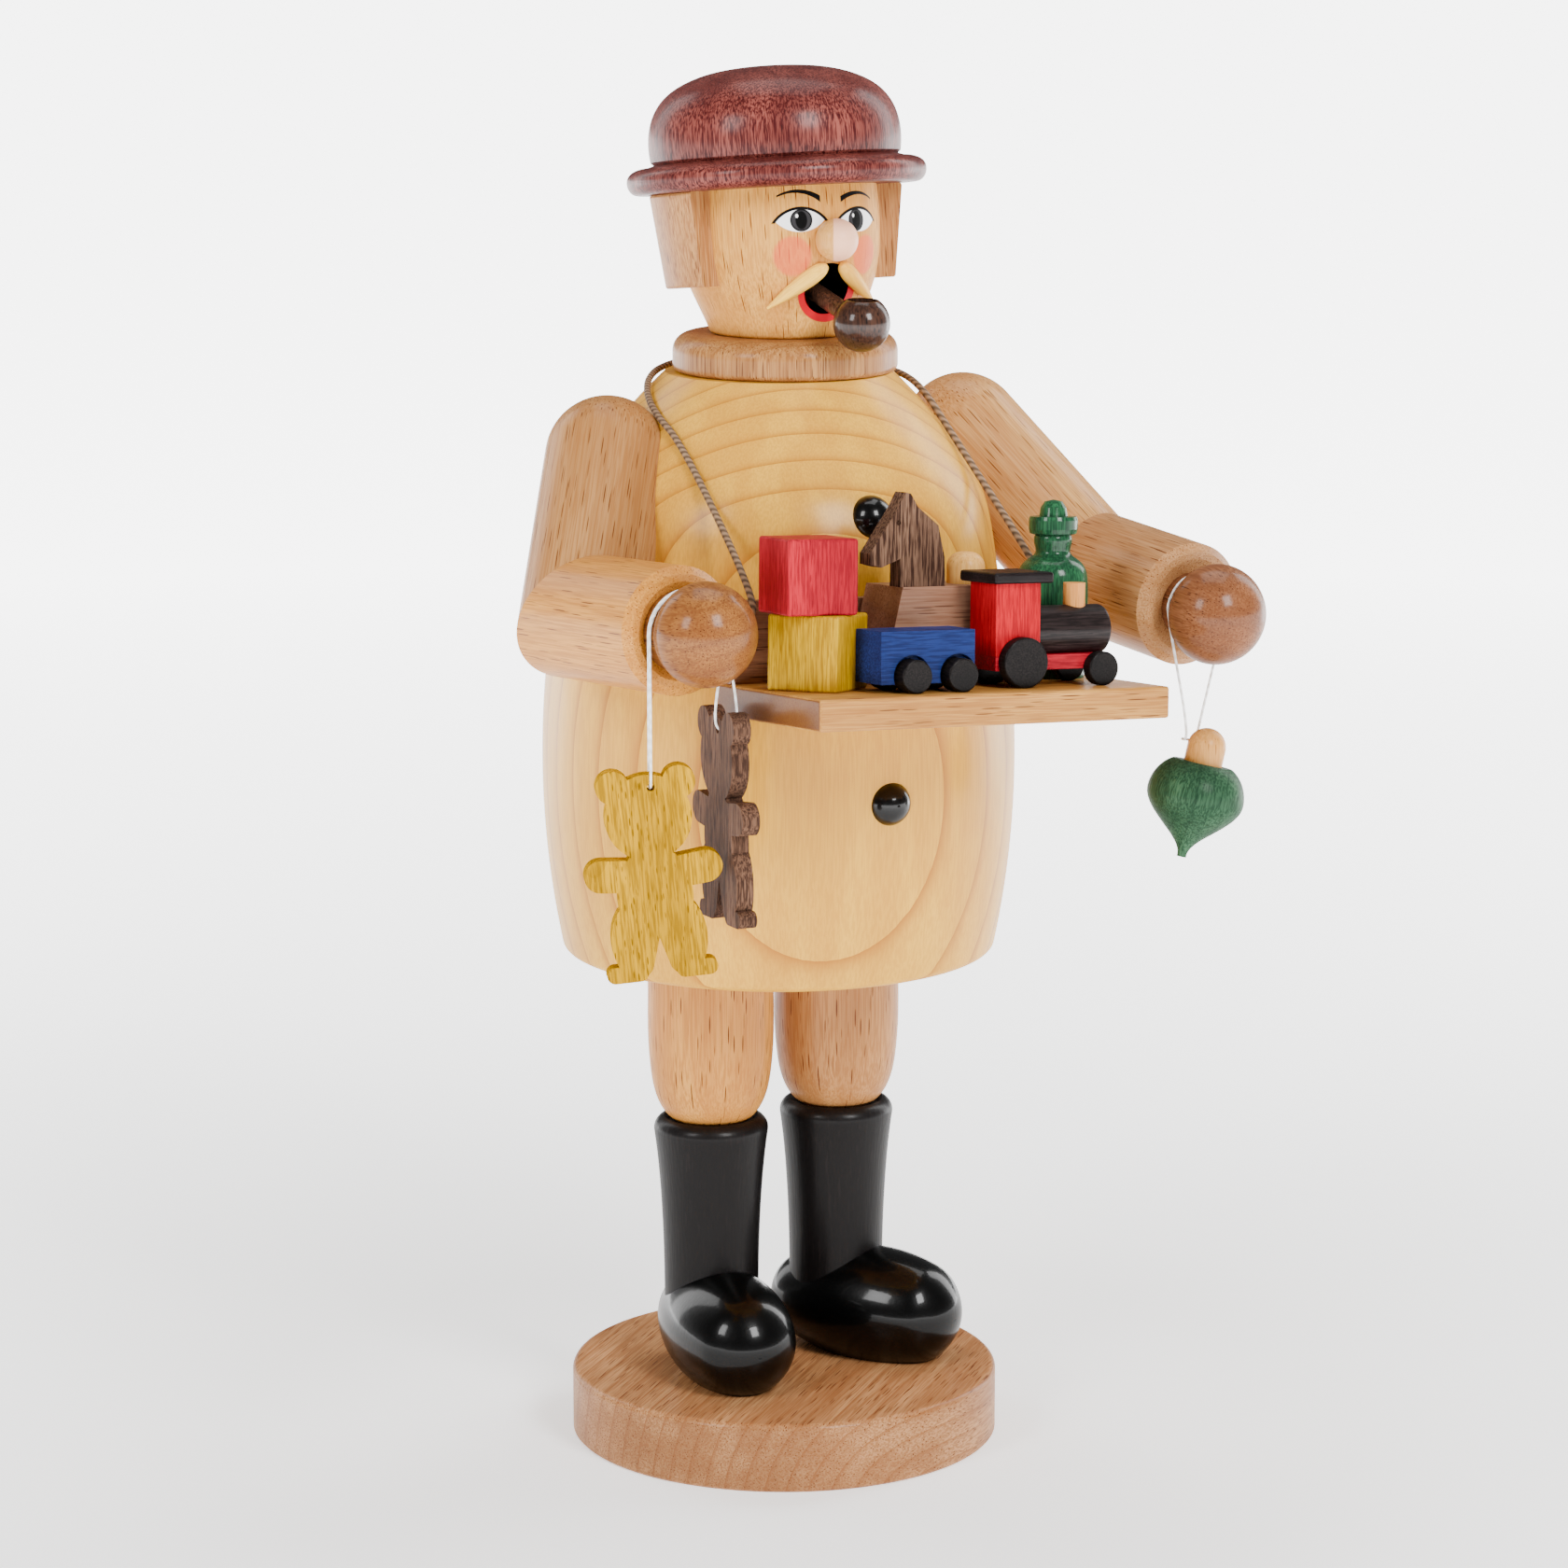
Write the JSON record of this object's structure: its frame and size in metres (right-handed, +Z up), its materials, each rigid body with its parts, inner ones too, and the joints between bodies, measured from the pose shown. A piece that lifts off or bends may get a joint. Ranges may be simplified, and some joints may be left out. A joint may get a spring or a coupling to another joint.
{
  "type": "german incense smoker",
  "caption": "Turned wooden toy-pedlar smoking man on a round base, with a tray of toys, toys hung from the wrists, a pipe, and a coat that lifts off an incense dish.",
  "frame": {"origin": "middle of the base disc's foot", "axes": "-Y is where the figure faces, +X is the figure's left, +Z is up"},
  "size_m": [0.1251, 0.1145, 0.2398],
  "materials": {
    "beech": "sanded beech under a thin satin varnish",
    "coat_maple": "turned maple, satin varnish",
    "head_beech": "turned beech, satin varnish",
    "hair_beech": "turned pinkish beech, satin varnish",
    "hat_stain": "red-brown stain under gloss varnish",
    "hand_beech": "polished red-brown beech",
    "moustache_maple": "turned pale maple",
    "pipe_stain": "dark brown stain, open grain",
    "shoe_black": "black gloss paint",
    "shaft_black": "black satin paint",
    "button_black": "black gloss paint",
    "tray_beech": "sawn beech, satin varnish",
    "back_board_beech": "darker sawn beech",
    "plug_beech": "plain turned beech",
    "dish_metal": "pressed sheet",
    "dowel_beech": "plain dowel",
    "block_red": "red stain",
    "block_yellow": "yellow stain",
    "horse_brown": "dark brown stain, sawn grain",
    "horse_base_beech": "mid-brown beech",
    "wagon_blue": "blue stain",
    "wheel_black": "black stain",
    "engine_red": "red stain",
    "engine_black": "worn black stain",
    "chimney_beech": "plain beech",
    "man_green": "green stain under gloss varnish",
    "bear_yellow": "yellow stain with dark sawn edges",
    "bear_brown": "grey-brown stain with dark sawn edges",
    "top_green": "green stain, satin",
    "knob_beech": "plain beech",
    "thread_white": "twisted white thread",
    "cord_brown": "grey-brown waxed cord"
  },
  "bodies": {
    "stand": {"base_disc": "beech", "base_dowels": "dowel_beech", "right_shoe": "shoe_black", "left_shoe": "shoe_black", "right_boot_shaft": "shaft_black", "left_boot_shaft": "shaft_black", "right_leg": "beech", "left_leg": "beech", "leg_plug": "plug_beech", "cone_dish": "dish_metal"},
    "upper_figure": {"shoulder_dowels": "dowel_beech", "right_upper_arm": "coat_maple", "left_upper_arm": "coat_maple", "right_forearm": "beech", "left_forearm": "beech", "right_hand": "hand_beech", "left_hand": "hand_beech", "tray_dowels": "dowel_beech", "tray_board": "tray_beech", "tray_back_board": "back_board_beech", "coat_button_upper": "button_black", "coat_button_lower": "button_black", "coat": "coat_maple", "collar": "head_beech", "pipe_stem": "pipe_stain", "pipe_bowl": "pipe_stain", "nose": "head_beech", "head": "head_beech", "right_moustache": "moustache_maple", "left_moustache": "moustache_maple", "hair_wreath": "hair_beech", "hat": "hat_stain", "yellow_block": "block_yellow", "red_block": "block_red", "horse_base": "horse_base_beech", "horse_peg": "knob_beech", "horse_head": "horse_brown", "wagon_body": "wagon_blue", "wagon_wheels": "wheel_black", "loco_cab": "engine_red", "loco_roof": "engine_black", "loco_chimney": "chimney_beech", "loco_boiler": "engine_black", "loco_chassis": "engine_red", "loco_rear_wheels": "wheel_black", "loco_front_wheels": "wheel_black", "green_man": "man_green", "bear_thread_saddle": "thread_white", "neck_cord": "cord_brown", "cord_knots": "cord_brown"},
    "yellow_thread": {"yellow_bear_thread": "thread_white"},
    "yellow_toy": {"yellow_bear": "bear_yellow"},
    "brown_thread": {"brown_bear_thread": "thread_white"},
    "brown_toy": {"brown_bear": "bear_brown"},
    "hanging_top": {"top_thread": "thread_white", "top_body": "top_green", "top_knob": "knob_beech"}
  },
  "joints": [
    {"name": "coat_lift", "type": "slide", "parent": "stand", "child": "upper_figure", "axis": [0, 0, 1], "range_m": [0, 0.06]},
    {"name": "yellow_swing", "type": "hinge", "parent": "upper_figure", "child": "yellow_thread", "pos_m": [-0.05192, -0.04942, 0.15369], "axis": [0, -1, 0], "range_deg": [-15, 0]},
    {"name": "yellow_rock", "type": "hinge", "parent": "yellow_thread", "child": "yellow_toy", "pos_m": [-0.05192, -0.04942, 0.12939], "axis": [-0.3827, -0.9239, 0], "range_deg": [-18, 0]},
    {"name": "brown_swing", "type": "hinge", "parent": "upper_figure", "child": "brown_thread", "pos_m": [-0.03807, -0.04942, 0.15369], "axis": [-0.9925, 0.1219, 0], "range_deg": [-6, 6]},
    {"name": "brown_rock", "type": "hinge", "parent": "brown_thread", "child": "brown_toy", "pos_m": [-0.03807, -0.04942, 0.13739], "axis": [-0.9925, 0.1219, 0], "range_deg": [-12, 12]},
    {"name": "top_swing", "type": "hinge", "parent": "upper_figure", "child": "hanging_top", "pos_m": [0.05235, -0.04942, 0.14992], "axis": [0, -1, 0], "range_deg": [-8, 8]}
  ]
}
